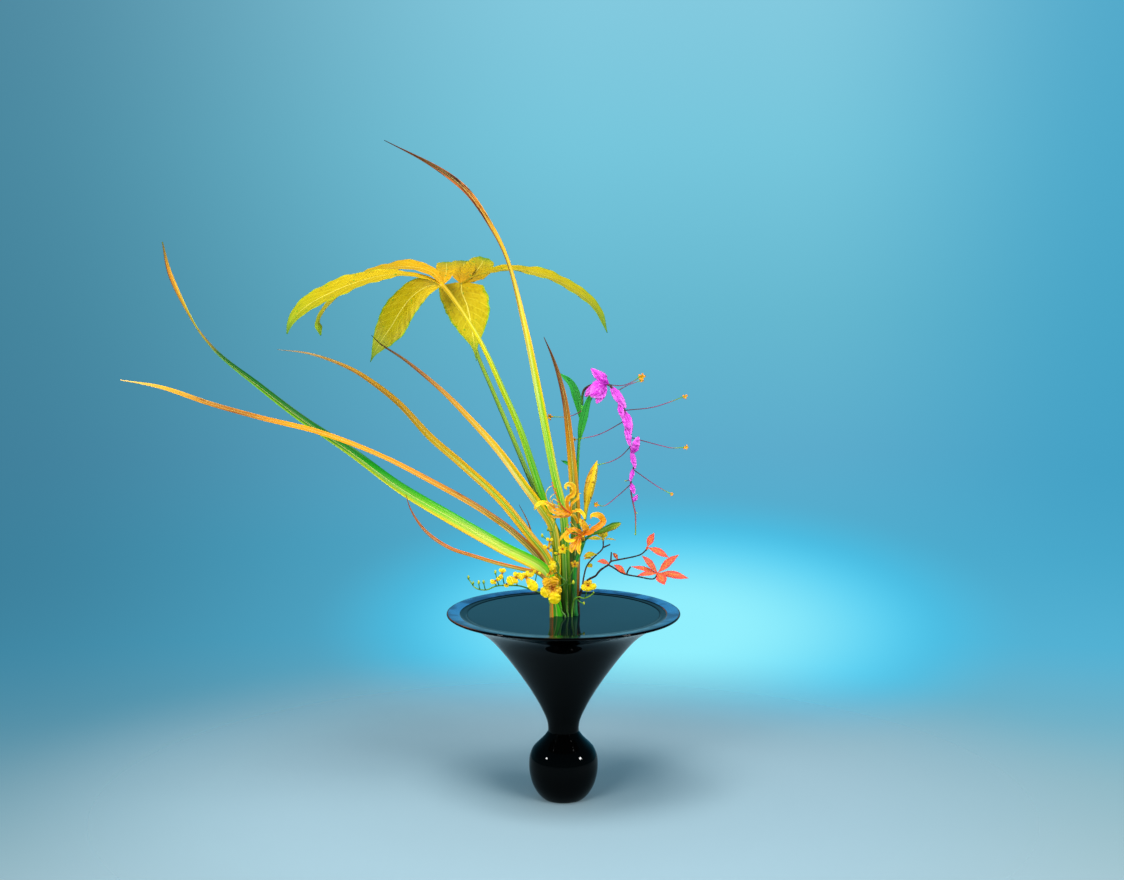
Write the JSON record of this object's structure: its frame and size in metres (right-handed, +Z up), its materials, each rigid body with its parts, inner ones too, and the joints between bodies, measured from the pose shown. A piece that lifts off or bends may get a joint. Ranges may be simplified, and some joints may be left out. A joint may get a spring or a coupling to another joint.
{
  "type": "ikebana arrangement in a pedestal vase",
  "caption": "Ikebana arrangement: long curving leaves, palmate leaves, flower sprays and an autumn twig in a black pedestal vase with a wide flange.",
  "frame": {"origin": "middle of the vase's flat foot, on the surface that it stands on", "axes": "+Z up, -Y the front of the arrangement, -X the side that the long leaves reach to"},
  "size_m": [0.7023, 0.3, 0.8475],
  "materials": {
    "vase_glass": "black glass, very glossy, amber where the rim thins",
    "water": "still dark water, mirror smooth",
    "pin_brass": "dull, under water",
    "leaf_green": "satin leaf, green with yellow edges",
    "leaf_olive": "satin leaf, olive green turning orange",
    "leaf_orange": "dry satin leaf, orange and brown",
    "leaf_rust": "dry leaf, rust brown",
    "leaf_yellow": "satin leaf, golden yellow with green specks",
    "stem_green": "fresh green stem",
    "bract_magenta": "thin silky bract",
    "lily_yellow": "waxy petal",
    "lily_orange": "waxy petal",
    "bud_green": "waxy bud",
    "orchid_yellow": "thin bright petal",
    "bark": "dark rough bark",
    "leaf_coral": "thin autumn leaf, coral red",
    "leaf_lime": "thin autumn leaf, yellow green"
  },
  "bodies": {
    "root": {"vase": "vase_glass", "water": "water", "pin_holder": "pin_brass", "strap_leaf_tall": "leaf_olive", "strap_leaf_long_left": "leaf_green", "strap_leaf_far_left": "leaf_orange", "strap_leaf_middle_left": "leaf_olive", "strap_leaf_upper_left": "leaf_orange", "strap_leaf_low_brown": "leaf_rust", "strap_leaf_right": "leaf_orange", "strap_leaf_tendril": "leaf_rust", "palmate_leaf_front": "leaf_yellow", "palmate_leaf_back": "leaf_yellow", "ginger_stem": "stem_green", "ginger_spray": "bract_magenta", "lily_stalk": "stem_green", "lily_flower_upper": "lily_yellow", "lily_flower_lower": "lily_orange", "lily_bud_tall": "lily_yellow", "lily_bud_short": "bud_green", "orchid_spray_left": "orchid_yellow", "orchid_spray_upright": "orchid_yellow", "orchid_spray_right": "orchid_yellow", "twig": "bark", "red_leaf_whorl_right": "leaf_coral", "red_leaf_whorl_upper": "leaf_coral", "yellow_leaf_whorl": "leaf_lime"}
  },
  "joints": []
}
